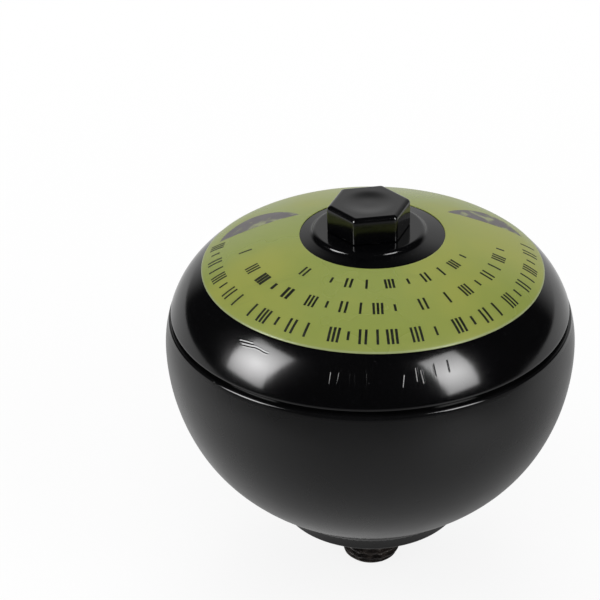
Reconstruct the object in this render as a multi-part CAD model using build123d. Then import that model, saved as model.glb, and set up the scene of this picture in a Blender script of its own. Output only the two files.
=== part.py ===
from build123d import *
import math
import os

# Welded diaphragm accumulator, millimetres, +Z up.
# The origin is the centre of the flat seat under the flange, where the threaded stud starts.

# Outer shape of the vessel, a chain of tangent arcs from its widest circle to the axis.
body_radius = 48.25
seam_above_equator = 8.0
shoulder_radius = 27.3
shoulder_end = 25.0
knuckle_radius = 21.8
knuckle_end = 67.0
bowl_side_radius = 48.3
bowl_side_end = 24.6
bowl_lower_radius = 41.6
bowl_lower_end = 40.3
wall = 4.0

# Weld seam between the two shells.
seam_gap = 0.6
seam_depth = 1.5
seam_upper_round = 0.8
seam_lower_round = 0.35
lip_thickness = 1.5
lip_reach = 2.5
lip_clearance = 0.08

# Fluid port fitting.
flange_radius = 22.2
flange_rise = 4.1
flange_rim_height = 2.4
flange_edge = 0.5
weld_leg = 2.4
spigot_radius = 17.0
thread_radius = 7.0
stud_length = 16.1
stud_chamfer = 1.0
neck_radius = 5.8
neck_length = 2.8
bore_radius = 2.5
valve_seat_radius = 4.2
port_seal_section = 1.2
seal_groove_depth = 1.9
seal_groove_width = 2.7
seal_clearance = 0.05

# Gas charging boss and screw.
collar_radius = 12.4
collar_foot_radius = 14.2
collar_foot_sink = 0.4
collar_rise = 0.2
collar_round = 1.5
collar_toe = 2.0
boss_radius = 11.0
boss_depth = 7.0
screw_radius = 6.0
screw_clearance = 0.05
screw_length = 11.5
screw_tip = 1.0
gas_hole_radius = 2.0
head_across_flats = 17.0
head_height = 6.1
head_round = 0.8
head_turn = 10.5
dish_radius = 6.2
dish_depth = 0.6
charge_seal_section = 1.1

# Diaphragm, its clamp ring and its closing button.
liner_gap = 0.6
diaphragm_wall = 2.0
bead_groove_depth = 0.9
bead_height = 6.0
bead_clearance = 0.1
clamp_thickness = 1.8
clamp_above_equator = 4.8
clamp_clearance = 0.35
button_radius = 8.0
button_thickness = 2.5
button_stem_radius = 2.5
button_stem_length = 1.6
button_cap_radius = 4.0
button_cap_thickness = 1.4
button_clearance = 0.3
hub_cover = 2.0

# Ring label on the dome.
label_outer_radius = 39.9
label_inner_radius = 16.5
label_thickness = 0.15
label_shift = 0.8

# Room that cutting tools and clipping blocks reach past the solids, and how close two levels count as one.
spare = 5.0
same_level = 1e-4


def polar(radius, degrees):
    """Radial and upward parts of a length that points at an angle above the horizontal."""
    angle = math.radians(degrees)
    return radius * math.cos(angle), radius * math.sin(angle)


def arc_chain(steps, side):
    """Tangent arcs (centre r, centre height, radius, start, end) from the equator to the axis.

    Heights count from the equator; side is 1 for the dome and -1 for the bowl.
    The last arc has its centre on the axis.
    """
    r, height, angle = body_radius, 0.0, 0.0
    arcs = []
    for radius, end in steps:
        out, up = polar(radius, angle)
        centre_r = r - out
        centre_height = height - side * up
        arcs.append((centre_r, centre_height, radius, angle, end))
        out, up = polar(radius, end)
        r = centre_r + out
        height = centre_height + side * up
        angle = end
    closing = r / math.cos(math.radians(angle))
    arcs.append((0.0, height - side * closing * math.sin(math.radians(angle)), closing, angle, 90.0))
    return arcs


dome_arcs = arc_chain(((shoulder_radius, shoulder_end), (knuckle_radius, knuckle_end)), 1)
bowl_arcs = arc_chain(((bowl_side_radius, bowl_side_end), (bowl_lower_radius, bowl_lower_end)), -1)


def base_height(r, inset):
    """Height above the equator of the bowl's base sphere, moved inwards by inset."""
    centre_r, centre_height, radius, start, end = bowl_arcs[-1]
    return centre_height - math.sqrt((radius - inset) ** 2 - r ** 2)


def crown_height(r):
    """Height above the equator of the dome's crown sphere."""
    centre_r, centre_height, radius, start, end = dome_arcs[-1]
    return centre_height + math.sqrt(radius ** 2 - r ** 2)


def shoulder_r(height, inset):
    """Radius of the shoulder at a height above the equator, moved inwards by inset."""
    centre_r, centre_height, radius, start, end = dome_arcs[0]
    return centre_r + math.sqrt((radius - inset) ** 2 - (height - centre_height) ** 2)


# Levels that follow from the sizes above, as heights over the seat.
equator_z = flange_rise - base_height(flange_radius, 0.0)
seam_z = equator_z + seam_above_equator
crown_z = equator_z + crown_height(0.0)
toe_z = equator_z + crown_height(collar_foot_radius)
collar_z = crown_z + collar_rise
spigot_top = equator_z + base_height(spigot_radius, wall)
button_z = spigot_top + button_clearance
seam_r = shoulder_r(seam_above_equator, 0.0)
inner_seam_r = shoulder_r(seam_above_equator, wall)
bead_low = equator_z - bead_height / 2
bead_high = equator_z + bead_height / 2
groove_r = body_radius - wall + bead_groove_depth
lip_r = inner_seam_r - lip_clearance
seal_groove_r = neck_radius + seal_groove_width
clamp_r = lip_r - clamp_clearance


def outline(arcs, inset, side):
    """Edges of one half of the vessel's outline, from the equator to the axis."""
    edges = []
    for centre_r, centre_height, radius, start, end in arcs:
        centre_z = equator_z + centre_height
        points = []
        for degrees in (start, (start + end) / 2, end):
            out, up = polar(radius - inset, degrees)
            points.append((centre_r + out, centre_z + side * up))
        edges.append(ThreePointArc(*points))
    return edges


def half(inset):
    """Half section (r across, z up) of the vessel's whole inside at an inset from its outline."""
    upper = outline(dome_arcs, inset, 1)
    lower = outline(bowl_arcs, inset, -1)
    axis_line = Line(upper[-1] @ 1, lower[-1] @ 1)
    return make_face(upper + [axis_line] + lower)


def area(*corners):
    """Flat section between (r, z) corners."""
    return make_face(Polyline(*corners, close=True))


def band(inner, outer, low, high):
    """Rectangular section of a ring, or of a disc where inner is zero."""
    return area((inner, low), (outer, low), (outer, high), (inner, high))


def above(z):
    """Section that holds everything of the vessel above a height."""
    return band(0.0, body_radius + spare, z, collar_z + spare)


def below(z):
    """Section that holds everything of the vessel below a height."""
    return band(0.0, body_radius + spare, -stud_length - spare, z)


def rounded(section, r, z, radius):
    """Section with the corner nearest to (r, z) rounded."""
    nearest = min(section.vertices(), key=lambda v: math.hypot(v.X - r, v.Y - z))
    return fillet(nearest, radius)


def turned(section):
    """Solid turned about Z from a half section."""
    return revolve(Plane.XZ * section, axis=Axis.Z)


def o_ring(inner_radius, section_radius, low):
    """O-ring that fits round a shaft and lies on a level."""
    return turned(Pos(inner_radius + section_radius, low + section_radius) * Circle(section_radius))


def seam_slot():
    """Section of the gap that the weld leaves between the shells' outer edges."""
    return band(seam_r - seam_depth, seam_r + spare, seam_z - seam_gap / 2, seam_z + seam_gap / 2)


def gas_shell():
    """Upper shell: dome, charging boss, centring lip and the screw's hole."""
    section = ((half(0.0) - half(wall)) & above(seam_z)) - seam_slot()
    section = rounded(section, seam_r, seam_z + seam_gap / 2, seam_upper_round)
    section += collar()
    section = rounded(section, collar_radius, collar_z, collar_round)
    section = rounded(section, collar_foot_radius, toe_z, collar_toe)
    section += band(0.0, boss_radius, collar_z - wall - boss_depth, crown_z - wall / 2)
    section += band(lip_r - lip_thickness, lip_r, seam_z - lip_reach, seam_z + lip_reach)
    return turned(section - screw_hole())


def collar():
    """Section of the low collar at the crown, whose sloping side runs on a little into the shell's wall."""
    sunk_r = collar_foot_radius + collar_foot_sink * (collar_foot_radius - collar_radius)
    sunk_z = toe_z - collar_foot_sink * (collar_z - toe_z)
    return area((0.0, crown_z - wall), (sunk_r, sunk_z), (collar_radius, collar_z), (0.0, collar_z))


def screw_hole():
    """Section of the threaded hole, gas hole and seal seat in the charging boss."""
    hole_r = screw_radius + screw_clearance
    thread_low = collar_z - screw_length - screw_clearance
    seal_room = 2 * (charge_seal_section + seal_clearance)
    low = collar_z - wall - boss_depth - spare
    return area(
        (0.0, low), (gas_hole_radius, low), (gas_hole_radius, thread_low), (hole_r, thread_low),
        (hole_r, collar_z - seal_room), (screw_radius + seal_room, collar_z - seal_room),
        (screw_radius + seal_room, collar_z + spare), (0.0, collar_z + spare),
    )


def fluid_shell():
    """Lower shell: bowl with the fitting's hole and the groove of the diaphragm's bead."""
    section = ((half(0.0) - half(wall)) & below(seam_z)) - seam_slot()
    section = rounded(section, seam_r, seam_z - seam_gap / 2, seam_lower_round)
    section -= band(0.0, spigot_radius, -stud_length, equator_z)
    return turned(section - band(0.0, groove_r, bead_low, bead_high))


def port_fitting():
    """Flange, spigot and stud turned from one bar, drilled through, with a seal groove in the seat."""
    weld_r = flange_radius + weld_leg
    weld_z = equator_z + base_height(weld_r, 0.0)
    spigot_z = equator_z + base_height(spigot_radius, 0.0)
    mid_r = (weld_r + spigot_radius) / 2
    mid_z = equator_z + base_height(mid_r, 0.0)
    under = Polyline(
        (bore_radius, spigot_top - (valve_seat_radius - bore_radius)),
        (bore_radius, -stud_length),
        (thread_radius - stud_chamfer, -stud_length),
        (thread_radius, stud_chamfer - stud_length),
        (thread_radius, neck_radius - thread_radius - neck_length),
        (neck_radius, -neck_length),
        (neck_radius, seal_groove_depth),
        (seal_groove_r, seal_groove_depth),
        (seal_groove_r, 0.0),
        (flange_radius - flange_edge, 0.0),
        (flange_radius, flange_edge),
        (flange_radius, flange_rim_height),
        (weld_r, weld_z),
    )
    seated = ThreePointArc((weld_r, weld_z), (mid_r, mid_z), (spigot_radius, spigot_z))
    inside = Polyline(
        (spigot_radius, spigot_z),
        (spigot_radius, spigot_top),
        (valve_seat_radius, spigot_top),
        (bore_radius, spigot_top - (valve_seat_radius - bore_radius)),
    )
    return turned(make_face([under, seated, inside]))


def port_seal():
    """O-ring round the stud's neck, against the floor of its groove in the seat."""
    low = seal_groove_depth - 2 * port_seal_section - seal_clearance
    return o_ring(neck_radius + seal_clearance, port_seal_section, low)


def charge_screw():
    """Hexagon screw that closes the gas side, with a shallow dish in its head."""
    hexagon = RegularPolygon(head_across_flats / 2, 6, major_radius=False)
    head = extrude(Pos(0, 0, collar_z) * Rot(0, 0, head_turn) * hexagon, head_height)
    head_top = collar_z + head_height
    head = fillet(head.edges().filter_by(lambda e: abs(e.center().Z - head_top) < same_level), head_round)
    dish_sphere = (dish_radius ** 2 + dish_depth ** 2) / (2 * dish_depth)
    head -= Pos(0, 0, head_top + dish_sphere - dish_depth) * Sphere(dish_sphere)
    low = collar_z - screw_length
    shank = area((0.0, low), (screw_radius - screw_tip, low), (screw_radius, low + screw_tip),
                 (screw_radius, collar_z), (0.0, collar_z))
    return head + turned(shank)


def charge_seal():
    """O-ring under the screw's head."""
    low = collar_z - 2 * charge_seal_section - seal_clearance
    return o_ring(screw_radius + seal_clearance, charge_seal_section, low)


def button_section(grow):
    """Closing button's section: plate, stem and cap, grown on every side by a clearance."""
    plate_top = button_z + button_thickness
    cap_low = plate_top + button_stem_length
    cap_high = cap_low + button_cap_thickness
    return area(
        (0.0, button_z - grow),
        (button_radius + grow, button_z - grow),
        (button_radius + grow, plate_top + grow),
        (button_stem_radius + grow, plate_top + grow),
        (button_stem_radius + grow, cap_low - grow),
        (button_cap_radius + grow, cap_low - grow),
        (button_cap_radius + grow, cap_high + grow),
        (0.0, cap_high + grow),
    )


def diaphragm():
    """Rubber cup pressed against the bowl by the gas, with a bead and a thick hub."""
    floor = spigot_top + button_clearance
    outside = half(wall + liner_gap) & above(floor)
    hollow = half(wall + liner_gap + diaphragm_wall) & above(floor + diaphragm_wall)
    cup = (outside - hollow) & below(equator_z)
    cup -= band(0.0, groove_r, bead_low, bead_high)
    cup += band(clamp_r + bead_clearance, groove_r - bead_clearance,
                bead_low, bead_high - bead_clearance)
    button_top = button_z + button_thickness + button_stem_length + button_cap_thickness
    cup += band(0.0, button_radius + hub_cover, floor, button_top + hub_cover)
    return turned(cup - button_section(button_clearance))


def clamp_ring():
    """Steel ring that holds the bead in its groove."""
    return turned(band(clamp_r - clamp_thickness, clamp_r, bead_low + clamp_clearance,
                       equator_z + clamp_above_equator))


def label():
    """Thin ring label that follows the dome, stuck slightly off its centre."""
    skin = turned((half(-label_thickness) - half(0.0)) & above(seam_z))
    tube = Cylinder(label_outer_radius, 2 * collar_z) - Cylinder(label_inner_radius, 2 * collar_z)
    return skin & (Pos(label_shift, 0, collar_z) * tube)


def main():
    os.makedirs("parts", exist_ok=True)
    pieces = {
        "gas_shell": gas_shell(),
        "fluid_shell": fluid_shell(),
        "port_fitting": port_fitting(),
        "port_seal": port_seal(),
        "charge_screw": charge_screw(),
        "charge_seal": charge_seal(),
        "diaphragm": diaphragm(),
        "clamp_ring": clamp_ring(),
        "closing_button": turned(button_section(0.0)),
        "label": label(),
    }
    for name, piece in pieces.items():
        export_step(piece, f"parts/{name}.step")


main()
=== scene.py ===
import bpy
import math
import numpy as np
from mathutils import Matrix, Vector


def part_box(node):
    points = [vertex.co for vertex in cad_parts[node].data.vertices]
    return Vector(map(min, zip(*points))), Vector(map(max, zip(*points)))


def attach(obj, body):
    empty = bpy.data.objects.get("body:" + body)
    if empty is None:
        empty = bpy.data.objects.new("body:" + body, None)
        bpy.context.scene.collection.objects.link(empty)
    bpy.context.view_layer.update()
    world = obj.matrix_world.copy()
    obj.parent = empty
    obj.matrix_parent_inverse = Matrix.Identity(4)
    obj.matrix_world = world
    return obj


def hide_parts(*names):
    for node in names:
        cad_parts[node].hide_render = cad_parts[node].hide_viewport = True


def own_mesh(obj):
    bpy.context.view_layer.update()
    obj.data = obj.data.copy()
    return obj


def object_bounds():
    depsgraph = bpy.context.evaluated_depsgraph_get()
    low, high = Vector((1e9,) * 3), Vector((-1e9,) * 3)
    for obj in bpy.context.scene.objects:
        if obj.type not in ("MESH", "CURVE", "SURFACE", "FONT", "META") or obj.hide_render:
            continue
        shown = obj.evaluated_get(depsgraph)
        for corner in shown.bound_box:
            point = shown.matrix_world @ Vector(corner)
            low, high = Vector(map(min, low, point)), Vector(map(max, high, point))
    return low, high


# Brake accumulator: painted steel vessel with a ring label, a hexagon charging screw and a threaded stud.
# Lengths are in millimetres until makePiece puts them into a mesh, and angles are in degrees.
# Azimuth 0 is the side of the camera (-Y). Each run of points says how many it has, after its two ends,
# and a run that is moved inwards ends with how far.

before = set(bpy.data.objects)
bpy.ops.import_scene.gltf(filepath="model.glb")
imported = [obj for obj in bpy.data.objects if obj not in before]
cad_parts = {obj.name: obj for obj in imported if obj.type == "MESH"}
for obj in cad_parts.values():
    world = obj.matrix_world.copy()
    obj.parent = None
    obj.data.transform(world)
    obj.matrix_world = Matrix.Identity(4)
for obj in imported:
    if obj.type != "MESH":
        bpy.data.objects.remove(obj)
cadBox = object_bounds()
metresPerMillimetre = 0.001
print("frame loaded:", len(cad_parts), "nodes")

vessel = {
    "equatorRadius": 48.25,
    "equatorHeight": 46.03,
    "seamHeight": 54.03,
    "domeArcs": ((27.3, 25.0), (21.8, 67.0)),   # radius and the slope angle where it ends
    "bowlArcs": ((48.3, 24.6), (41.6, 40.3)),
    "wall": 4.0,
    "seamGap": 0.6,
    "seamDepth": 1.5,
    "upperEdgeRound": 0.8,
    "lowerEdgeRound": 0.55,
}


# Points of a circle at given angles: centre plus radius times cosine and sine.
def circlePoints(centre, radius, angles):
    turn = np.radians(angles)
    return np.column_stack([centre[0] + radius * np.cos(turn), centre[1] + radius * np.sin(turn)])


# Points of a circle between two angles, in even steps.
def arcRun(centre, radius, firstAngle, lastAngle, count):
    return circlePoints(centre, radius, np.linspace(firstAngle, lastAngle, count))


# Points of a straight run: start plus a share of the way to the end, in even steps.
def lineRun(start, end, count=2):
    share = np.linspace(0.0, 1.0, count)[:, None]
    return np.array(start) + share * (np.array(end) - np.array(start))


# Tangent arcs from the widest circle to the axis: each next centre lies on the last radius line,
# and the closing arc has its centre on the axis. side is 1 for the dome and -1 for the bowl.
def tangentArcs(steps, side):
    r, height, slope, arcs = vessel["equatorRadius"], vessel["equatorHeight"], 0.0, []
    for radius, lastSlope in steps:
        first, last = math.radians(slope), math.radians(lastSlope)
        centre = (r - radius * math.cos(first), height - side * radius * math.sin(first))
        arcs.append({"centre": centre, "radius": radius, "first": side * slope, "last": side * lastSlope})
        r = centre[0] + radius * math.cos(last)
        height = centre[1] + side * radius * math.sin(last)
        slope = lastSlope
    closing = r / math.cos(math.radians(slope))
    centre = (0.0, height - side * closing * math.sin(math.radians(slope)))
    arcs.append({"centre": centre, "radius": closing, "first": side * slope, "last": side * 90.0})
    return arcs


domeArcs = tangentArcs(vessel["domeArcs"], 1)
bowlArcs = tangentArcs(vessel["bowlArcs"], -1)


# Angle where an arc, moved inwards, has a given radius from the axis: arc cosine of reach over its radius.
def angleAtRadius(arc, r, inset=0.0):
    angle = math.acos((r - arc["centre"][0]) / (arc["radius"] - inset))
    return math.copysign(math.degrees(angle), arc["last"])


# Angle where an arc, moved inwards, has a given height: arc sine of the rise over its radius.
def angleAtHeight(arc, height, inset=0.0):
    return math.degrees(math.asin((height - arc["centre"][1]) / (arc["radius"] - inset)))


# Radius from the axis where an arc, moved inwards, has a given height: its centre's plus the root of its
# radius squared less the rise squared.
def radiusAtHeight(arc, height, inset=0.0):
    return arc["centre"][0] + math.sqrt((arc["radius"] - inset) ** 2 - (height - arc["centre"][1]) ** 2)


gapRadius = radiusAtHeight(domeArcs[0], vessel["seamHeight"]) - vessel["seamDepth"]


# Rounded edge of a shell at the seam: its centre, and the angle where the shoulder arc touches it.
def seamEdge(height, edge):
    return (radiusAtHeight(domeArcs[0], height, edge), height), angleAtHeight(domeArcs[0], height, edge)


# Part of an arc between two angles, moved inwards.
def partRun(arc, firstAngle, lastAngle, count, inset=0.0):
    return arcRun(arc["centre"], arc["radius"] - inset, firstAngle, lastAngle, count)


# Height of the dome's skin, lift above the paint, over a radius from the axis:
# the crown sphere in the middle and the knuckle arc outside the circle where they meet.
def domeHeight(r, lift):
    knuckle, crown = domeArcs[1], domeArcs[2]
    meets = (crown["radius"] + lift) * math.cos(math.radians(crown["first"]))
    heights = []
    for arc in (knuckle, crown):
        inside = (arc["radius"] + lift) ** 2 - (r - arc["centre"][0]) ** 2
        heights.append(arc["centre"][1] + np.sqrt(np.maximum(inside, 0.0)))
    return np.where(r > meets, heights[0], heights[1])


# Points round the axis: radius times sine and minus cosine of the azimuth, and the height.
def ringPoints(radius, azimuths, height):
    radius, turn, height = np.broadcast_arrays(radius, np.radians(azimuths), height)
    return np.stack([radius * np.sin(turn), -radius * np.cos(turn), height], axis=-1)


# A profile of (radius, height) turned to every azimuth.
def turnedRings(profile, azimuths):
    return ringPoints(profile[:, :1], azimuths, profile[:, 1:])


# Azimuths with their own step in each stretch, from -180 round to 180.
def unevenAzimuths(*stretches):
    parts, last = [], -180.0
    for until, step in stretches:
        parts.append(np.linspace(last, until, max(int(round((until - last) / step)), 1), endpoint=False))
        last = until
    return np.concatenate(parts)


# Coarse and fine azimuths in one rising row, less each one that follows its neighbour too closely.
def mergedAzimuths(coarse, fine, least):
    row = np.sort(np.concatenate([coarse, fine]))
    return row[np.concatenate([[True], np.diff(row) > least])]


# Four-sided faces of a grid whose columns close round the axis: a point, the next one round,
# and the same two one ring on.
def ringFaces(ringCount, columnCount, closed):
    ring = np.arange(ringCount if closed else ringCount - 1)[:, None]
    column = np.arange(columnCount)[None, :]
    nextRing = (ring + 1) % ringCount
    nextColumn = (column + 1) % columnCount
    here, aside = ring * columnCount + column, ring * columnCount + nextColumn
    across, above = nextRing * columnCount + nextColumn, nextRing * columnCount + column
    return np.stack([here, aside, across, above], axis=2).reshape(-1, 4)


# Mesh object from points and lists of faces, smooth but for edges sharper than the given angle.
def makePiece(name, points, faces, materials, faceMaterials=None, sharpAngle=35.0):
    mesh = bpy.data.meshes.new(name)
    mesh.from_pydata((points * metresPerMillimetre).tolist(), [], faces)
    for material in materials:
        mesh.materials.append(material)
    if faceMaterials is not None:
        mesh.polygons.foreach_set("material_index", faceMaterials.astype(np.int32))
    mesh.polygons.foreach_set("use_smooth", np.ones(len(mesh.polygons), bool))
    mesh.set_sharp_from_angle(angle=math.radians(sharpAngle))
    mesh.update()
    piece = bpy.data.objects.new(name, mesh)
    bpy.context.scene.collection.objects.link(piece)
    return piece


# Skin over a stack of rings. A closed stack joins its last ring to its first; an open one has two poles.
def skinPiece(name, rings, closed, materials, sharpAngle=35.0, faceMaterials=None):
    ringCount, columnCount = rings.shape[:2]
    points = rings.reshape(-1, 3)
    faces = ringFaces(ringCount, columnCount, closed).tolist()
    if not closed:
        poles = np.stack([rings[0].mean(axis=0), rings[-1].mean(axis=0)])
        column = np.arange(columnCount)
        following = (column + 1) % columnCount
        lastRing = (ringCount - 1) * columnCount
        low = np.column_stack([np.full(columnCount, len(points)), following, column])
        high = np.column_stack([np.full(columnCount, len(points) + 1), lastRing + column,
                                lastRing + following])
        points = np.concatenate([points, poles])
        faces += low.tolist() + high.tolist()
    return makePiece(name, points, faces, materials, faceMaterials, sharpAngle)


# Skin of one profile turned round the axis in even steps.
def turnedPiece(name, profile, step, material, closed=True):
    return skinPiece(name, turnedRings(profile, unevenAzimuths((180.0, step))), closed, [material])


# Gives a piece its body and hides the solids that it takes the place of; its slot is not used.
def settle(piece, body, slot, *nodes):
    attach(piece, body)
    if nodes:
        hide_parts(*nodes)


def newMaterial(name):
    material = bpy.data.materials.new(name)
    material.use_nodes = True
    tree = material.node_tree
    return material, tree, tree.nodes["Principled BSDF"], addNode(tree, "TexCoord").outputs["Object"]


# Fills a node's inputs: a socket is linked and anything else becomes the input's own value.
def setInputs(tree, node, values):
    for key, value in values.items():
        if isinstance(value, bpy.types.NodeSocket):
            tree.links.new(value, node.inputs[key])
        else:
            node.inputs[key].default_value = value
    return node


def addNode(tree, kind, values=None, **settings):
    node = tree.nodes.new("ShaderNode" + kind)
    for key, value in settings.items():
        setattr(node, key, value)
    return setInputs(tree, node, values or {})


def noiseNode(tree, place, scale, detail, roughness=0.5, stretch=None):
    if stretch:
        place = addNode(tree, "Mapping", {"Vector": place, "Scale": stretch}).outputs["Vector"]
    values = {"Vector": place, "Scale": scale, "Detail": detail, "Roughness": roughness}
    return addNode(tree, "TexNoise", values).outputs["Fac"]


def mathNode(tree, operation, *values):
    return addNode(tree, "Math", dict(enumerate(values)), operation=operation).outputs[0]


# Smooth step of a value from the first to the second level, as the first to the second result.
def rangeNode(tree, value, levels, results=(0.0, 1.0)):
    values = {"Value": value, "From Min": levels[0], "From Max": levels[1], "To Min": results[0],
              "To Max": results[1]}
    return addNode(tree, "MapRange", values, interpolation_type="SMOOTHSTEP").outputs["Result"]


def mixColours(tree, factor, *colours):
    values = {"Factor": factor}
    for key, colour in zip("AB", colours):
        values[key] = (*colour, 1.0) if isinstance(colour, tuple) else colour
    return addNode(tree, "Mix", values, data_type="RGBA").outputs["Result"]


def bumpNode(tree, height, distance, **further):
    return addNode(tree, "Bump", {"Height": height, "Distance": distance, **further}).outputs["Normal"]


def vectorLength(tree, vector):
    return addNode(tree, "VectorMath", {0: vector}, operation="LENGTH").outputs["Value"]


# Each noise below is its scale, its detail and its roughness, where it has one.
glossPaint = {
    "colour": (0.0013, 0.0013, 0.0016),
    "dustColour": (0.03, 0.03, 0.032),
    "dust": (2600.0, 2.0),
    "dustLevels": (0.68, 0.82),
    "haze": (60.0, 4.0, 0.6),
    "hazeLevels": (0.3, 0.75),
    "roughness": (0.1, 0.15),
    "peel": (330.0, 2.0),
    "peelHeight": 0.000003,
    "ior": 1.5,
}


# Gloss paint: black with pale specks where the dust noise is high, roughness that follows a haze noise,
# and orange peel from a third one.
def glossPaintMaterial():
    material, tree, shader, place = newMaterial("glossBlackPaint")
    dust = rangeNode(tree, noiseNode(tree, place, *glossPaint["dust"]), glossPaint["dustLevels"])
    haze = noiseNode(tree, place, *glossPaint["haze"])
    setInputs(tree, shader, {
        "Base Color": mixColours(tree, dust, glossPaint["colour"], glossPaint["dustColour"]),
        "Roughness": rangeNode(tree, haze, glossPaint["hazeLevels"], glossPaint["roughness"]),
        "Normal": bumpNode(tree, noiseNode(tree, place, *glossPaint["peel"]), glossPaint["peelHeight"]),
        "IOR": glossPaint["ior"],
    })
    return material


satinPaint = {
    "colour": (0.0022, 0.0022, 0.0024),
    "paleColour": (0.0042, 0.0042, 0.0046),
    "cloud": (35.0, 4.0, 0.55),
    "toneLevels": (0.3, 0.7),
    "roughLevels": (0.35, 0.7),
    "roughness": (0.25, 0.33),
    "edgeRoughness": 0.1,
    "edgeHeights": (0.0524, 0.0532),   # metres; the paint runs smooth between them, towards the seam's edge
    "grain": (1500.0, 2.0),
    "grainHeight": 0.000005,
    "pitScale": 180.0,
    "pitLevels": (0.03, 0.09),
    "pitHeight": 0.00003,
    "pitStrength": 0.6,
    "ior": 1.45,
}


# Satin paint: black, with cloudy changes of tone and roughness, a fine grain, a small pit in the middle of
# each Voronoi cell, and a roughness that blends to the edge's own near the seam.
def satinPaintMaterial():
    material, tree, shader, place = newMaterial("satinBlackPaint")
    cloud = noiseNode(tree, place, *satinPaint["cloud"])
    tone = rangeNode(tree, cloud, satinPaint["toneLevels"])
    height = addNode(tree, "SeparateXYZ", {"Vector": place}).outputs["Z"]
    edge = rangeNode(tree, height, satinPaint["edgeHeights"])
    rough = rangeNode(tree, cloud, satinPaint["roughLevels"], satinPaint["roughness"])
    change = mathNode(tree, "SUBTRACT", satinPaint["edgeRoughness"], rough)
    grain = bumpNode(tree, noiseNode(tree, place, *satinPaint["grain"]), satinPaint["grainHeight"])
    cells = addNode(tree, "TexVoronoi", {"Vector": place, "Scale": satinPaint["pitScale"]})
    pits = rangeNode(tree, cells.outputs["Distance"], satinPaint["pitLevels"])
    setInputs(tree, shader, {
        "Base Color": mixColours(tree, tone, satinPaint["colour"], satinPaint["paleColour"]),
        "Roughness": mathNode(tree, "MULTIPLY_ADD", edge, change, rough),
        "Normal": bumpNode(tree, pits, satinPaint["pitHeight"], Normal=grain,
                           Strength=satinPaint["pitStrength"]),
        "IOR": satinPaint["ior"],
    })
    return material


labelShape = {
    "shift": 0.8,            # the ring sits this far to +X of the axis
    "outerRadius": 39.8,
    "innerRadius": 16.75,
    "holeShift": 0.6,        # and its hole this far to -Y
    "thickness": 0.15,
    "edgeRound": 0.06,
    "edgeSpan": (0.4, 1.6),  # in edge rounds from the rim, where the round starts and ends
    "topStart": 0.5,         # from the rim and the hole, where the flat top's even rows start
    "topRings": 44,
    "under": 0.01,           # gap between the film and the paint
    "underEnd": 0.4,         # from the rim, where the underside's even rows end
    "underRings": 40,
    "sunk": 0.02,            # how far the print's plates reach into the film
    "strokeRise": 0.012,     # and how far they stand above it
    "patchRise": 0.01,
    "azimuthStep": 1.0,
}

labelFilm = {
    "colour": (0.215, 0.257, 0.056),
    "warmColour": (0.262, 0.282, 0.055),
    # painted highlight: a paler colour along the rim stands in for light caught on the film's cut edge
    "rimHighlightColour": (0.26, 0.3, 0.125),
    "rimHighlightWidths": (0.35, 0.15),    # from the rim, where the painted highlight on the cut edge begins and where it is full
    "smearColour": (0.14, 0.18, 0.045),
    "cloud": (38.0, 3.0, 0.5),
    "warmLevels": (0.38, 0.66),
    "smear": (60.0, 4.0, 0.6, (0.35, 2.2, 1.0)),    # the last one stretches it along X
    "smearLevels": (0.63, 0.8),
    "smearShares": (0.0, 0.7),
    "roughLevels": (0.3, 0.7),
    "roughness": (0.25, 0.36),
    "wave": (240.0, 3.0),
    "waveHeight": 0.000008,
    "ior": 1.46,
}


# Label film: green with warmer clouds and faint smears, a painted highlight as a paler colour beyond a set
# distance from the ring's own middle along the cut edge, roughness that follows the clouds, and low waves.
def labelFilmMaterial():
    material, tree, shader, place = newMaterial("labelFilm")
    cloud = noiseNode(tree, place, *labelFilm["cloud"])
    warm = rangeNode(tree, cloud, labelFilm["warmLevels"])
    smear = noiseNode(tree, place, *labelFilm["smear"])
    smear = rangeNode(tree, smear, labelFilm["smearLevels"], labelFilm["smearShares"])
    base = mixColours(tree, warm, labelFilm["colour"], labelFilm["warmColour"])
    base = mixColours(tree, smear, base, labelFilm["smearColour"])
    fromMiddle = addNode(tree, "Mapping", {"Vector": place, "Scale": (1.0, 1.0, 0.0), "Location": (
        -labelShape["shift"] * metresPerMillimetre, 0.0, 0.0)})
    # Painted highlight: the film turns paler near its rim, for light caught on the cut edge.
    rim = [(labelShape["outerRadius"] - width) * metresPerMillimetre for width in labelFilm["rimHighlightWidths"]]
    edge = rangeNode(tree, vectorLength(tree, fromMiddle.outputs["Vector"]), rim)
    setInputs(tree, shader, {
        "Base Color": mixColours(tree, edge, base, labelFilm["rimHighlightColour"]),
        "Roughness": rangeNode(tree, cloud, labelFilm["roughLevels"], labelFilm["roughness"]),
        "Normal": bumpNode(tree, noiseNode(tree, place, *labelFilm["wave"]), labelFilm["waveHeight"]),
        "IOR": labelFilm["ior"],
    })
    return material


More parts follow.
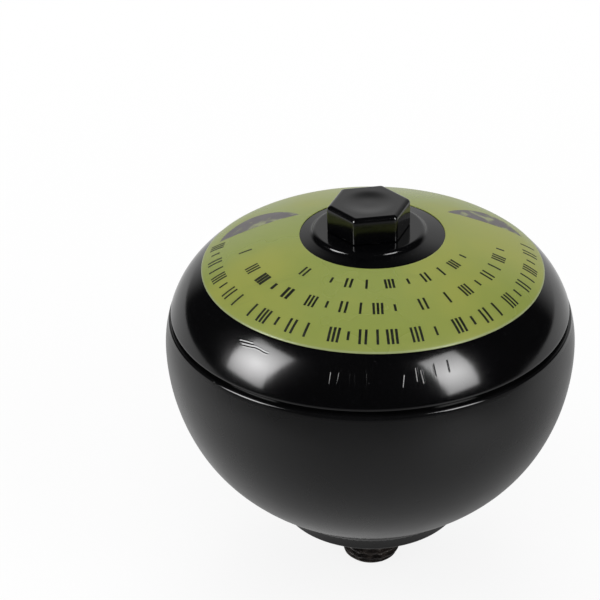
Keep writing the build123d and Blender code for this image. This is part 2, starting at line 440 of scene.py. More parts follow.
# Finishes that share one recipe: the blotch noise and the levels between which it blends the two colours, the
# roughness, the grain noise and its height, and the shader's own constants.
inkLook = {"levels": (0.5, 0.68), "roughness": (0.42, 0.55), "constants": {"IOR": 1.4}}
rubberLook = {"blotch": (120.0, 4.0), "levels": (0.4, 0.75), "roughness": (0.55, 0.72),
              "grain": (2200.0, 2.0), "grainHeight": 0.00001, "constants": {}}
turningMarks = (300.0, 4.0, 0.6, (1.0, 1.0, 12.0))    # stretched round the axis
blotchedLooks = {
    "darkInk": {
        **inkLook, "blotch": (1800.0, 4.0), "colours": ((0.004, 0.005, 0.003), (0.014, 0.017, 0.007))},
    "greyInk": {
        **inkLook, "blotch": (300.0, 4.0), "colours": ((0.115, 0.105, 0.11), (0.27, 0.29, 0.16))},
    "phosphatedSteel": {
        "blotch": (420.0, 5.0, 0.65), "levels": (0.35, 0.7), "roughness": (0.3, 0.55),
        "colours": ((0.006, 0.0045, 0.004), (0.03, 0.022, 0.018)),
        "grain": (2400.0, 3.0), "grainHeight": 0.00001, "constants": {"Metallic": 0.35}},
    "plainSteel": {
        "blotch": turningMarks, "levels": None, "roughness": (0.28, 0.45),
        "colours": ((0.36, 0.36, 0.37), (0.52, 0.52, 0.53)),
        "grain": turningMarks, "grainHeight": 0.000004, "constants": {"Metallic": 1.0}},
    "sealRubber": {**rubberLook, "colours": ((0.012, 0.012, 0.012), (0.03, 0.03, 0.03))},
    "diaphragmRubber": {**rubberLook, "colours": ((0.018, 0.018, 0.019), (0.04, 0.04, 0.042))},
}
blotchRoughLevels = (0.3, 0.7)


# Ink, rubber or bare steel: a blotch noise, stepped between two levels where it has them, blends two colours,
# the same noise gives the roughness, and a finer one raises a grain.
def blotchedMaterial(name):
    look = blotchedLooks[name]
    material, tree, shader, place = newMaterial(name)
    blotch = noiseNode(tree, place, *look["blotch"])
    share = rangeNode(tree, blotch, look["levels"]) if look["levels"] else blotch
    setInputs(tree, shader, {
        "Base Color": mixColours(tree, share, *look["colours"]),
        "Roughness": rangeNode(tree, blotch, blotchRoughLevels, look["roughness"]),
        **look["constants"],
    })
    if "grain" in look:
        grain = noiseNode(tree, place, *look["grain"])
        setInputs(tree, shader, {"Normal": bumpNode(tree, grain, look["grainHeight"])})
    return material


glossBlackPaint = glossPaintMaterial()
satinBlackPaint = satinPaintMaterial()
greenFilm = labelFilmMaterial()
darkInk, greyInk, phosphatedSteel, plainSteel, sealRubber, diaphragmRubber = map(
    blotchedMaterial, blotchedLooks)
print("finishes ready")


gasShape = {
    "collarRise": -0.2,      # from the crown's highest point
    "collarFlat": 12.1,      # radius where the flat top ends
    "collarRound": 1.2,
    "collarSlope": 57.0,     # degrees that the straight side falls
    "collarToe": 1.2,
    "sealSeatRadius": 8.3,
    "sealSeatDepth": 1.9,
    "holeRadius": 6.05,
    "holeDepth": 11.15,
    "gasHoleRadius": 2.0,
    "bossRadius": 11.0,
    "bossDepth": 10.6,
    "lipThickness": 1.5,
    "lipClearance": 0.08,
    "lipReach": 2.5,
    "fineSlopes": (31.0, 46.5),    # the knuckle's rows lie close together between these
    "fineSlopeStep": 0.32,
    "fineAzimuths": (-44.0, -30.0),
    "azimuthSteps": (2.0, 0.3, 1.5),
}

stampedRow = {
    "slope": 35.4,           # degrees on the knuckle arc, the row's middle
    "halfHeight": 1.3,
    "halfWidth": 0.11,
    "depth": 0.045,
    "rim": 0.006,
    "fineReach": 0.85,       # degrees to each side of a stroke that get fine columns
    "fineStep": 0.07,
    "leastShare": 0.6,       # of that step, the least that two columns lie apart
    # azimuth, offset up the slope and lean, a plain stroke for each
    "strokes": ((-11.5, 0.1, -9.0), (-9.2, 0.2, -12.0), (-5.8, 0.0, -4.0), (-4.3, 0.0, 0.0),
                (-0.8, 0.2, 0.0), (9.7, -0.6, -6.0), (13.4, 0.5, 8.0), (15.1, -0.1, 14.0),
                (18.6, 0.9, 12.0), (22.8, 1.2, 12.0)),
}

scratchLine = {
    "halfWidth": 0.12,
    "depth": 0.05,
    "rim": 0.025,
    # azimuth and slope of the corners of each scratch
    "lines": (((-41.4, 42.0), (-39.0, 42.6), (-36.7, 43.4), (-34.9, 43.2), (-33.4, 42.6), (-31.9, 42.5)),
              ((-42.9, 43.4), (-40.2, 44.2), (-38.0, 44.6))),
}

cutForm = {
    "rimPlace": 2.1,         # in half widths from the cut's middle line
    "rimWidth": 0.35,
}


# Place on the unrolled knuckle: how far round and how far up, at an azimuth and a slope.
def knucklePlace(azimuth, slope):
    arc, up = domeArcs[1], np.radians(slope)
    return np.radians(azimuth) * (arc["centre"][0] + arc["radius"] * np.cos(up)), up * arc["radius"]


# Depth of a set of cuts with two ends each, over the distance to the nearest one as a share of their half
# width: a bell, less a low raised rim beside it.
def cutDepth(across, along, cuts, form):
    nearest = np.full(np.broadcast_shapes(across.shape, along.shape), np.inf)
    for start, end in cuts:
        dx, dy = end[0] - start[0], end[1] - start[1]
        share = ((across - start[0]) * dx + (along - start[1]) * dy) / (dx * dx + dy * dy)
        share = np.clip(share, 0.0, 1.0)
        distance = np.hypot(across - start[0] - share * dx, along - start[1] - share * dy)
        nearest = np.minimum(nearest, distance)
    share = nearest / form["halfWidth"]
    rim = np.exp(-(share - cutForm["rimPlace"]) ** 2 / cutForm["rimWidth"])
    return form["depth"] * np.exp(-share ** 2) - form["rim"] * rim


# How far the stamped strokes and the scratches push the skin in.
def markedDepth(azimuths, slopes):
    across, along = knucklePlace(azimuths[None, :], slopes[:, None])
    strokes, scratches = [], []
    for azimuth, offset, lean in stampedRow["strokes"]:
        x, y = knucklePlace(azimuth, stampedRow["slope"])
        tilt = math.radians(lean)
        half = stampedRow["halfHeight"] * np.array([-math.sin(tilt), math.cos(tilt)])
        middle = np.array([x, y + offset])
        strokes.append((middle - half, middle + half))
    for line in scratchLine["lines"]:
        corners = [knucklePlace(*corner) for corner in line]
        scratches += zip(corners[:-1], corners[1:])
    return cutDepth(across, along, strokes, stampedRow) + cutDepth(across, along, scratches, scratchLine)


# The collar's side from the crown up to its flat top: a hollow arc that leaves the crown sphere without a
# corner, a straight side, and a round edge. The hollow arc's centre lies both radii from the sphere's centre.
def collarRun(top):
    crown, slope = domeArcs[2], math.radians(gasShape["collarSlope"])
    edge, toe = gasShape["collarRound"], gasShape["collarToe"]
    down = np.array([math.cos(slope), -math.sin(slope)])
    outward = np.array([math.sin(slope), math.cos(slope)])
    edgeCentre = np.array([gasShape["collarFlat"], top - edge])
    offset = edgeCentre + (edge + toe) * outward - np.array(crown["centre"])
    along = offset @ down
    fall = -along - math.sqrt(along ** 2 - offset @ offset + (crown["radius"] + toe) ** 2)
    toeCentre = edgeCentre + (edge + toe) * outward + fall * down
    meets = math.degrees(math.atan2(crown["centre"][1] - toeCentre[1], -toeCentre[0]))
    leaves = math.degrees(math.atan2(-outward[1], -outward[0]))
    return np.concatenate([
        arcRun(toeCentre, toe, meets, leaves, 9),
        arcRun(edgeCentre, edge, 90.0 - gasShape["collarSlope"], 90.0, 12),
    ])


# Closed outline of the upper shell: seam gap, rounded edge, dome, collar, screw hole, boss, inside and lip.
# Also gives the slope angle of the rows on the knuckle, where the cuts are, and their first row.
def gasShellOutline():
    shape, wall, seam = gasShape, vessel["wall"], vessel["seamHeight"]
    shoulder, knuckle, crown = domeArcs
    low, edge = seam + vessel["seamGap"] / 2, vessel["upperEdgeRound"]
    edgeCentre, edgeSlope = seamEdge(low + edge, edge)
    top = crown["centre"][1] + crown["radius"] + shape["collarRise"]
    collar = collarRun(top)
    sealSeat, holeEnd, bossLow = (top - shape[key] for key in ("sealSeatDepth", "holeDepth", "bossDepth"))
    boss, hole, gasHole = shape["bossRadius"], shape["holeRadius"], shape["gasHoleRadius"]
    lipOuter = radiusAtHeight(shoulder, seam, wall) - shape["lipClearance"]
    lipInner = lipOuter - shape["lipThickness"]
    lipTop, lipLow = seam + shape["lipReach"], seam - shape["lipReach"]
    firstFine, lastFine = shape["fineSlopes"]
    slopes = np.concatenate([np.linspace(knuckle["first"], firstFine, 8, endpoint=False),
                             np.arange(firstFine, lastFine, shape["fineSlopeStep"]),
                             np.linspace(lastFine, knuckle["last"], 12)])
    before = [
        lineRun((gapRadius, low), (edgeCentre[0], low), 4)[:-1],
        arcRun(edgeCentre, edge, -90.0, edgeSlope, 9),
        partRun(shoulder, edgeSlope, shoulder["last"], 8)[1:-1],
    ]
    after = [
        partRun(crown, crown["first"], angleAtRadius(crown, collar[0, 0]), 18)[1:-1],
        collar,
        lineRun((boss, top), (shape["sealSeatRadius"], top), 3),
        lineRun((shape["sealSeatRadius"], sealSeat), (hole, sealSeat)),
        lineRun((hole, holeEnd), (gasHole, holeEnd)),
        lineRun((gasHole, bossLow), (boss, bossLow)),
        partRun(crown, angleAtRadius(crown, boss, wall), crown["first"], 12, wall),
        partRun(knuckle, knuckle["last"], knuckle["first"], 12, wall)[1:],
        partRun(shoulder, shoulder["last"], angleAtHeight(shoulder, lipTop, wall), 3, wall)[1:],
        [(lipInner, lipTop), (lipInner, lipLow), (lipOuter, lipLow), (lipOuter, seam), (gapRadius, seam)],
    ]
    rows = circlePoints(knuckle["centre"], knuckle["radius"], slopes)
    return np.concatenate(before + [rows] + after), slopes, sum(len(run) for run in before)


# Upper shell: its outline turned round the axis, with the cuts pushed in along the knuckle's own normal.
def buildGasShell():
    outline, slopes, first = gasShellOutline()
    ends, steps = (*gasShape["fineAzimuths"], 180.0), gasShape["azimuthSteps"]
    reach, step = stampedRow["fineReach"], stampedRow["fineStep"]
    fine = [stroke[0] + np.arange(-reach, reach + step / 2, step) for stroke in stampedRow["strokes"]]
    least = step * stampedRow["leastShare"]
    azimuths = mergedAzimuths(unevenAzimuths(*zip(ends, steps)), np.concatenate(fine), least)
    rings = turnedRings(outline, azimuths)
    slope = np.radians(slopes)[:, None]
    normal = ringPoints(np.cos(slope), azimuths, np.sin(slope))
    rings[first:first + len(slopes)] -= markedDepth(azimuths, slopes)[:, :, None] * normal
    piece = skinPiece("gasShell", rings, True, [glossBlackPaint])
    settle(piece, "root", "gloss_black_paint", "gas_shell")


fluidShape = {
    "holeRadius": 17.0,
    "beadHeight": 6.0,
    "beadDepth": 0.9,
    "azimuthStep": 1.25,
}


# Closed outline of the lower shell, from the seam gap down the inside to the port hole and up the outside.
def fluidShellOutline():
    shoulder, (side, lower, base) = domeArcs[0], bowlArcs
    edge, wall, seam = vessel["lowerEdgeRound"], vessel["wall"], vessel["seamHeight"]
    high, hole = seam - vessel["seamGap"] / 2, fluidShape["holeRadius"]
    edgeCentre, edgeSlope = seamEdge(high - edge, edge)
    beadHigh = vessel["equatorHeight"] + fluidShape["beadHeight"] / 2
    beadLow = beadHigh - fluidShape["beadHeight"]
    groove = vessel["equatorRadius"] - wall + fluidShape["beadDepth"]
    return np.concatenate([
        [(gapRadius, seam)],
        partRun(shoulder, angleAtHeight(shoulder, seam, wall), angleAtHeight(shoulder, beadHigh, wall), 4,
                wall),
        lineRun((groove, beadHigh), (groove, beadLow), 3),
        partRun(side, angleAtHeight(side, beadLow, wall), side["last"], 10, wall),
        partRun(lower, lower["first"], lower["last"], 10, wall)[1:],
        partRun(base, base["first"], angleAtRadius(base, hole, wall), 8, wall)[1:],
        partRun(base, angleAtRadius(base, hole), base["first"], 14),
        partRun(lower, lower["last"], lower["first"], 20)[1:],
        partRun(side, side["last"], 0.0, 22)[1:],
        partRun(shoulder, 0.0, edgeSlope, 12)[1:-1],
        arcRun(edgeCentre, edge, edgeSlope, 90.0, 7),
        lineRun((edgeCentre[0], high), (gapRadius, high), 4)[1:],
    ])


def buildFluidShell():
    piece = turnedPiece("fluidShell", fluidShellOutline(), fluidShape["azimuthStep"], satinBlackPaint)
    settle(piece, "root", "satin_black_paint", "fluid_shell")


fittingShape = {
    "flangeRadius": 22.2,
    "rimHeight": 2.4,
    "edge": 0.5,
    "edgeStart": -80.0,      # angle where the rim's round edge leaves the seat
    "rimBreak": (0.05, 0.1),       # outward and down from the rim's top corner
    "weldLeg": 2.4,
    "weldFoot": (0.3, 0.25),       # outward and up from the rim
    "weldSwell": 0.35,
    "weldLean": (0.55, -0.8),      # the swell's way out and down
    "weldRipple": 0.06,
    "weldRipples": 90,
    "weldSunk": 0.05,        # how far the weld's outer line reaches over the bowl's first row
    "spigotRadius": 17.0,
    "spigotTop": 6.13,
    "seatRadius": 4.2,
    "boreRadius": 2.5,
    "boreBreak": 0.4,
    "neckRadius": 5.8,
    "neckLength": 2.8,
    "grooveRadius": 8.5,
    "grooveDepth": 1.9,
    "grooveBreak": 0.1,
    "threadRadius": 7.0,
    "threadPitch": 1.5,
    "threadDepth": 0.92,
    "threadRows": 14,        # to a turn
    "threadEnd": 0.02,       # how far the thread's first and last rows stand off its ends
    "crestShare": 0.14,      # of half a turn from the crest's middle; then comes the flank
    "flankShare": 0.62,
    "rootRound": 0.15,
    "studLength": 16.1,
    "tipChamfer": 1.0,
    "tipBreak": 0.1,
    "azimuthStep": 1.0,
}


# Thread radius at a height and azimuth: the crest, less a depth that follows how far the point is from the
# crest line, counted in turns as height over pitch plus azimuth over 360, and never outside the end chamfers.
def threadRings(azimuths):
    shape = fittingShape
    low, high = -shape["studLength"], -shape["neckLength"]
    count = int((high - low) / shape["threadPitch"] * shape["threadRows"])
    heights = np.linspace(low + shape["threadEnd"], high - shape["threadEnd"], count)[:, None]
    phase = (heights / shape["threadPitch"] + azimuths[None, :] / 360.0) % 1.0
    fromCrest = np.abs(2.0 * phase - 1.0)
    share = np.clip((fromCrest - shape["crestShare"]) / shape["flankShare"], 0.0, 1.0)
    rounded = share * share * (3.0 - 2.0 * share)
    flank = (1.0 - shape["rootRound"]) * share + shape["rootRound"] * rounded
    tip = shape["threadRadius"] - shape["tipChamfer"] + (heights - low)
    neck = shape["neckRadius"] + (high - heights)
    limit = np.minimum(np.minimum(tip, neck), shape["threadRadius"])
    radius = np.minimum(shape["threadRadius"] - shape["threadDepth"] * flank, limit)
    return ringPoints(radius, azimuths, heights)


# Port fitting: bore, stud end and thread, seal groove, seat, flange rim, rippled weld and spigot, one closed
# skin. The weld swells by half a sine across and ripples by a cosine round the axis.
def buildPortFitting():
    shape, base = fittingShape, bowlArcs[2]
    azimuths = unevenAzimuths((180.0, shape["azimuthStep"]))
    flange, edge, rim = shape["flangeRadius"], shape["edge"], shape["rimHeight"]
    breakOut, breakDown = shape["rimBreak"]
    end = -shape["studLength"]
    bore, seat, groove, neck = (shape[key + "Radius"] for key in ("bore", "seat", "groove", "neck"))
    spigot, spigotTop, small = shape["spigotRadius"], shape["spigotTop"], shape["grooveBreak"]
    weldOuter = flange + shape["weldLeg"]
    weldTop = base["centre"][1] - math.sqrt(base["radius"] ** 2 - weldOuter ** 2)
    footOut, footUp = shape["weldFoot"]
    bare = [
        lineRun((bore, spigotTop - (seat - bore)), (bore, end), 4),
        lineRun((bore + shape["boreBreak"], end),
                (shape["threadRadius"] - shape["tipChamfer"] - shape["tipBreak"], end), 3),
        threadRings(azimuths),
        lineRun((neck, -shape["neckLength"]), (neck, shape["grooveDepth"]), 3),
        lineRun((groove, shape["grooveDepth"]), (groove, small)),
    ]
    weld = turnedRings(lineRun((flange + footOut, rim + footUp), (weldOuter, weldTop), 8), azimuths)
    swell = np.sin(np.linspace(0.0, math.pi, len(weld)))[:, None]
    ripple = shape["weldRipple"] * np.cos(np.radians(azimuths * shape["weldRipples"]))[None, :]
    swell = swell * (shape["weldSwell"] + ripple)
    leanOut, leanDown = shape["weldLean"]
    painted = [
        lineRun((groove + small, 0.0), (flange - edge, 0.0), 3),
        arcRun((flange - edge, edge), edge, shape["edgeStart"], 0.0, 5),
        lineRun((flange, rim - breakDown), (flange + breakOut, rim)),
        weld + ringPoints(leanOut * swell, azimuths, leanDown * swell),
        partRun(base, angleAtRadius(base, weldOuter - shape["weldSunk"]), angleAtRadius(base, spigot), 5),
        lineRun((spigot, spigotTop), (seat, spigotTop), 3),
    ]
    runs = [run if run.ndim == 3 else turnedRings(run, azimuths) for run in bare + painted]
    counts = [len(bare), len(painted)]
    finish = np.repeat(np.repeat([0, 1], counts), [len(run) * len(azimuths) for run in runs])
    finishes = [phosphatedSteel, satinBlackPaint]
    piece = skinPiece("portFitting", np.concatenate(runs), True, finishes, 40.0, finish)
    settle(piece, "root", "phosphated_steel", "port_fitting")


screwShape = {
    "acrossFlats": 17.0,
    "headHeight": 6.5,
    "cornerRound": 1.0,
    "leastRound": 0.3,
    "cornerShrink": 0.4,     # how fast the corners' round falls as the hexagon draws in
    "topRound": 1.1,
    "turn": 10.5,
    "cornerReach": 4.0,      # degrees to each side of a corner that get fine columns
    "cornerStep": 0.4,
    "leastStep": 0.25,
    "azimuthStep": 1.5,
    "foot": ((0.35, 0.02), (0.0, 0.3)),    # inset and height of the first rings over the seat
    "sideStart": 0.8,
    "dishRadius": 6.4,
    "dishDepth": 0.4,
    "dishPower": 1.4,
    "dishPole": 0.04,        # share of the dish's radius where its last ring lies
    "shankRadius": 6.0,
    "shankLength": 11.1,
    "shankPole": 0.5,
    "tip": 1.0,
}


# Radius of a hexagon with rounded corners at each azimuth: half the flats over the cosine from the flat's
# middle, or near a corner the ray's crossing with the corner's circle. inset moves every side inwards.
def hexagonRadius(azimuths, inset):
    flat = screwShape["acrossFlats"] / 2 - inset
    corner = max(screwShape["cornerRound"] - inset * screwShape["cornerShrink"], screwShape["leastRound"])
    fromFlat = (azimuths - screwShape["turn"] + 30.0) % 60.0 - 30.0
    angle = np.radians(np.abs(fromFlat))
    reach = (flat - corner) / math.cos(math.radians(30.0))
    bend = math.atan((flat - corner) * math.tan(math.radians(30.0)) / flat)
    off = np.radians(30.0) - angle
    rounded = reach * np.cos(off) + np.sqrt(np.maximum(corner ** 2 - (reach * np.sin(off)) ** 2, 0.0))
    return np.where(angle > bend, rounded, flat / np.cos(angle))


# Charging screw: shank rings, then hexagon rings that draw in over the top edge and blend to circles in the
# dish, which is a cosine of a power of the share of its radius.
def buildChargeScrew():
    shape = screwShape
    corners = shape["turn"] + 30.0 + 60.0 * np.arange(-3, 3)[:, None]
    reach, step = shape["cornerReach"], shape["cornerStep"]
    fine = corners + np.arange(-reach, reach + step / 2, step)
    coarse = unevenAzimuths((180.0, shape["azimuthStep"]))
    azimuths = mergedAzimuths(coarse, fine.ravel(), shape["leastStep"])
    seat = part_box("charge_screw")[1].z / metresPerMillimetre - shape["headHeight"]
    low, top, topRound = seat - shape["shankLength"], seat + shape["headHeight"], shape["topRound"]
    shank, tip, dish = shape["shankRadius"], shape["tip"], shape["dishRadius"]
    profile = np.concatenate([
        lineRun((shape["shankPole"], low), (shank - tip, low), 4),
        lineRun((shank, low + tip), (shank, seat + shape["foot"][0][1]), 12),
    ])
    over = np.radians(np.linspace(0.0, 90.0, 10))[1:]
    steps = [(inset, seat + rise) for inset, rise in shape["foot"]]
    steps += [(0.0, z) for z in np.linspace(seat + shape["sideStart"], top - topRound, 6)]
    steps += list(zip(topRound * (1 - np.cos(over)), top - topRound * (1 - np.sin(over))))
    rings = [ringPoints(hexagonRadius(azimuths, inset), azimuths, z) for inset, z in steps]
    edge = hexagonRadius(azimuths, topRound)
    for share in np.linspace(0.0, 1.0, 8)[1:]:
        rings.append(ringPoints(edge * (1 - share) + dish * share, azimuths, top))
    for share in np.linspace(1.0, shape["dishPole"], 16)[1:]:
        fall = shape["dishDepth"] * (0.5 + 0.5 * math.cos(math.pi * share ** shape["dishPower"]))
        rings.append(ringPoints(dish * share, azimuths, top - fall))
    rings = np.concatenate([turnedRings(profile, azimuths), np.stack(rings)])
    piece = skinPiece("chargeScrew", rings, False, [glossBlackPaint], 50.0)
    settle(piece, "root", "gloss_black_paint", "charge_screw")


# Printed rows: each has its middle radius, its marks' height, and its groups as first azimuth, last azimuth,
# number of marks and line width.
printedRows = (
    {"radius": 22.4, "height": 2.8, "groups": (
        (-42.5, -37.5, 1, 0.54), (-24.0, -3.5, 3, 0.54), (9.5, 31.5, 3, 0.54), (43.0, 65.5, 3, 0.54))},
    {"radius": 29.4, "height": 3.1, "groups": (
        (-84.0, -67.5, 2, 0.52), (-57.0, -40.0, 3, 0.8), (-27.5, 9.5, 6, 0.54), (22.0, 34.0, 2, 0.54),
        (44.5, 86.0, 6, 0.54))},
    {"radius": 36.5, "height": 3.3, "groups": (
        (-97.0, -56.0, 8, 0.54), (-47.0, -23.5, 5, 0.6), (-13.5, 6.5, 5, 0.58), (15.0, 22.0, 2, 0.54),
        (31.0, 48.5, 4, 0.6), (56.5, 98.0, 8, 0.54))},
)

# Plain marks that take turns along the rows: each stroke's place across and half its length, in mark heights.
plainMarks = (
    ((0.0, 0.5),),
    ((-0.2, 0.5), (0.2, 0.5)),
    ((0.0, 0.3),),
    ((-0.3, 0.5), (0.0, 0.5), (0.3, 0.5)),
)
markStride = 7

# Plain dark patches at the back of the label: radius and azimuth of the straight side's two ends, and how far
# the other side bulges, as a share of that side.
greyPatches = (
    {"ends": ((36.6, -101.0), (20.0, -121.0)), "bulge": 0.42},
    {"ends": ((21.5, 124.5), (36.6, 106.0)), "bulge": 0.42},
)
bulgePower = 0.8


# Label points: a ring about its shifted middle, whose circles move over towards the hole's own middle, laid
# on the dome at each point's own distance from the axis.
def labelPoints(reach, azimuths, lift):
    share = (labelShape["outerRadius"] - reach) / (labelShape["outerRadius"] - labelShape["innerRadius"])
    flat = ringPoints(reach, azimuths, 0.0)
    x, y = labelShape["shift"] + flat[..., 0], flat[..., 1] - labelShape["holeShift"] * share
    return np.stack([x, y, domeHeight(np.hypot(x, y), lift)], axis=-1)


# Grids of the printed strokes in the label's flat plane: along each stroke, and across it by its width.
def strokeGrids():
    grids, count = [], 0
    for row in printedRows:
        for first, last, marks, width in row["groups"]:
            for azimuth in np.linspace(first, last, marks):
                outward = ringPoints(1.0, azimuth, 0.0)[:2]
                aside = np.array([-outward[1], outward[0]])
                for across, half in plainMarks[(count * markStride + marks) % len(plainMarks)]:
                    middle = row["radius"] * outward + row["height"] * across * aside
                    length = row["height"] * half * outward
                    stroke = lineRun(middle + length, middle - length, 7)[:, None, :]
                    grids.append(stroke - np.linspace(-0.5, 0.5, 3)[None, :, None] * width * aside)
                count += 1
    return np.array(grids)


# Grid of a patch in the label's flat plane: along its straight side, and out by a power of half a sine.
def patchGrid(patch):
    ends = np.array([ringPoints(r, azimuth, 0.0)[:2] for r, azimuth in patch["ends"]])
    chord = ends[1] - ends[0]
    outward = np.array([chord[1], -chord[0]])
    outward *= np.sign(outward @ ends.mean(axis=0))
    along = np.linspace(0.0, 1.0, 31)[:, None, None]
    across = np.linspace(0.0, 1.0, 11)[None, :, None]
    bulge = patch["bulge"] * np.sin(math.pi * along) ** bulgePower
    return ends[0] + along * chord + across * bulge * outward


# Thin closed plates on the dome over flat grids (plate, along, across, xy): the grid at the low lift and at
# the high one, and walls between their rims. Gives the points and the faces, counted from the first point.
def platesOnDome(flat, lowLift, highLift):
    x, y = flat[..., 0] + labelShape["shift"], flat[..., 1]
    reach = np.hypot(x, y)
    points = np.stack([np.stack([x, y, domeHeight(reach, lift)], -1) for lift in (lowLift, highLift)], axis=1)
    count = points[0].size // 3
    low, high = np.arange(count).reshape(points.shape[1:4])
    top = [high[:-1, :-1], high[:-1, 1:], high[1:, 1:], high[1:, :-1]]
    under = [low[:-1, :-1], low[1:, :-1], low[1:, 1:], low[:-1, 1:]]
    around = [(low[:, 0], high[:, 0]), (low[-1, :], high[-1, :]), (low[::-1, -1], high[::-1, -1]),
              (low[0, ::-1], high[0, ::-1])]
    walls = [np.stack([a[:-1], b[:-1], b[1:], a[1:]], -1) for a, b in around]
    plate = np.concatenate([np.stack(top, -1).reshape(-1, 4), np.stack(under, -1).reshape(-1, 4)] + walls)
    faces = plate[None] + np.arange(len(points))[:, None, None] * count
    return points.reshape(-1, 3), faces.reshape(-1, 4)


# Label: a closed thin ring on the dome, with its print as thin raised plates in their own inks, in one mesh.
def buildLabel():
    shape = labelShape
    outer, inner, thick, edge, even = (shape[key] for key in (
        "outerRadius", "innerRadius", "thickness", "edgeRound", "topStart"))
    azimuths = unevenAzimuths((180.0, shape["azimuthStep"]))
    start, end = (share * edge for share in shape["edgeSpan"])
    reach = np.concatenate([
        [outer, outer, outer - start, outer - end],
        np.linspace(outer - even, inner + even, shape["topRings"]),
        [inner + end, inner + start, inner],
        np.linspace(inner, outer - shape["underEnd"], shape["underRings"]),
    ])
    lift = np.concatenate([
        [shape["under"], thick - edge, thick - start],
        np.full(shape["topRings"] + 2, thick),
        [thick - start, thick - edge],
        np.full(shape["underRings"], shape["under"]),
    ])
    rings = labelPoints(reach[:, None], azimuths[None, :], lift[:, None])
    points = [rings.reshape(-1, 3)]
    faces = [ringFaces(len(rings), len(azimuths), True)]
    inks = [np.zeros(len(faces[0]))]
    prints = [(strokeGrids(), shape["strokeRise"], 1)]
    prints += [(patchGrid(patch)[None], shape["patchRise"], 2) for patch in greyPatches]
    for grids, rise, ink in prints:
        platePoints, plateFaces = platesOnDome(grids, thick - shape["sunk"], thick + rise)
        faces.append(plateFaces + sum(len(part) for part in points))
        points.append(platePoints)
        inks.append(np.full(len(plateFaces), ink))
    piece = makePiece("ringLabel", np.concatenate(points), np.concatenate(faces).tolist(),
                      [greenFilm, darkInk, greyInk], np.concatenate(inks), 50.0)
    settle(piece, "root", "label_film", "label")


sealShape = {
    "flashHeight": 0.03,
    "flashWidth": 6.0,       # degrees round the cord
    "azimuthStep": 2.5,
}


# O-ring: a circle of the cord carried round, with a faint mould flash as a narrow bell at its inner and
# outer line.
def buildSeal(name, node, innerRadius, cordRadius):
    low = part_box(node)[0].z / metresPerMillimetre
    angle = np.linspace(0.0, 360.0, 40, endpoint=False)
    off = np.minimum(angle % 180.0, 180.0 - angle % 180.0) / sealShape["flashWidth"]
    reach = cordRadius - sealShape["flashHeight"] + sealShape["flashHeight"] * np.exp(-off ** 2)
    profile = circlePoints((innerRadius + cordRadius, low + cordRadius), reach, angle)
    piece = turnedPiece(name, profile, sealShape["azimuthStep"], sealRubber)
    settle(piece, "root", "seal_rubber", node)


diaphragmShape = {
    "gap": 0.6,
    "wall": 2.0,
    "hubRadius": 10.0,
    "hubBreak": 0.6,
    "hubTop": 7.5,           # this and the other levels here count from the closing button's lowest point
    "plateRadius": 8.3,
    "plateTop": 2.8,
    "plateEase": 0.05,       # how far the button's plate stands off the hub's lowest face
    "stemRadius": 2.8,
    "capRadius": 4.3,
    "capLow": 3.8,
    "capTop": 5.8,
    "poleRadius": 0.4,
    "topRadius": 6.0,        # where the hub's flat top has its first inner row
    "footBreak": 0.5,
    "hubReach": 10.6,        # radius of the hub's foot, where the cup begins
    "hubGap": 0.05,
    "beadInner": 42.5,
    "beadOuter": 45.05,
    "beadHeight": 5.9,
    "beadDrop": 3.0,         # from the equator to the bead's underside
    "beadBreaks": (0.1, 0.2),      # at its lower and upper corners
    "azimuthStep": 2.0,
}


# Diaphragm's middle: a hub round the button, with a foot that ends where the cup begins. It rises with it.
def buildDiaphragmHub():
    shape = diaphragmShape
    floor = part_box("diaphragm")[0].z / metresPerMillimetre
    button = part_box("closing_button")[0].z / metresPerMillimetre
    plateTop, capLow, capTop, hubTop = (
        button + shape[key] for key in ("plateTop", "capLow", "capTop", "hubTop"))
    hub, cap, stem, plate, pole = (shape[key + "Radius"] for key in ("hub", "cap", "stem", "plate", "pole"))
    foot, footTop, small = shape["hubReach"], floor + shape["wall"], shape["hubBreak"]
    profile = np.concatenate([
        lineRun((pole, capTop), (cap, capTop), 3),
        [(cap, capLow), (stem, capLow), (stem, plateTop), (plate, plateTop)],
        [(plate, floor + shape["plateEase"]), (plate + small, floor), (foot, floor), (foot, footTop)],
        [(hub + shape["footBreak"], footTop), (hub, footTop + shape["footBreak"])],
        [(hub, hubTop - small), (hub - small, hubTop)],
        lineRun((shape["topRadius"], hubTop), (pole, hubTop), 3),
    ])
    piece = turnedPiece("diaphragmHub", profile, shape["azimuthStep"], diaphragmRubber, False)
    settle(piece, "button", "diaphragm_rubber")
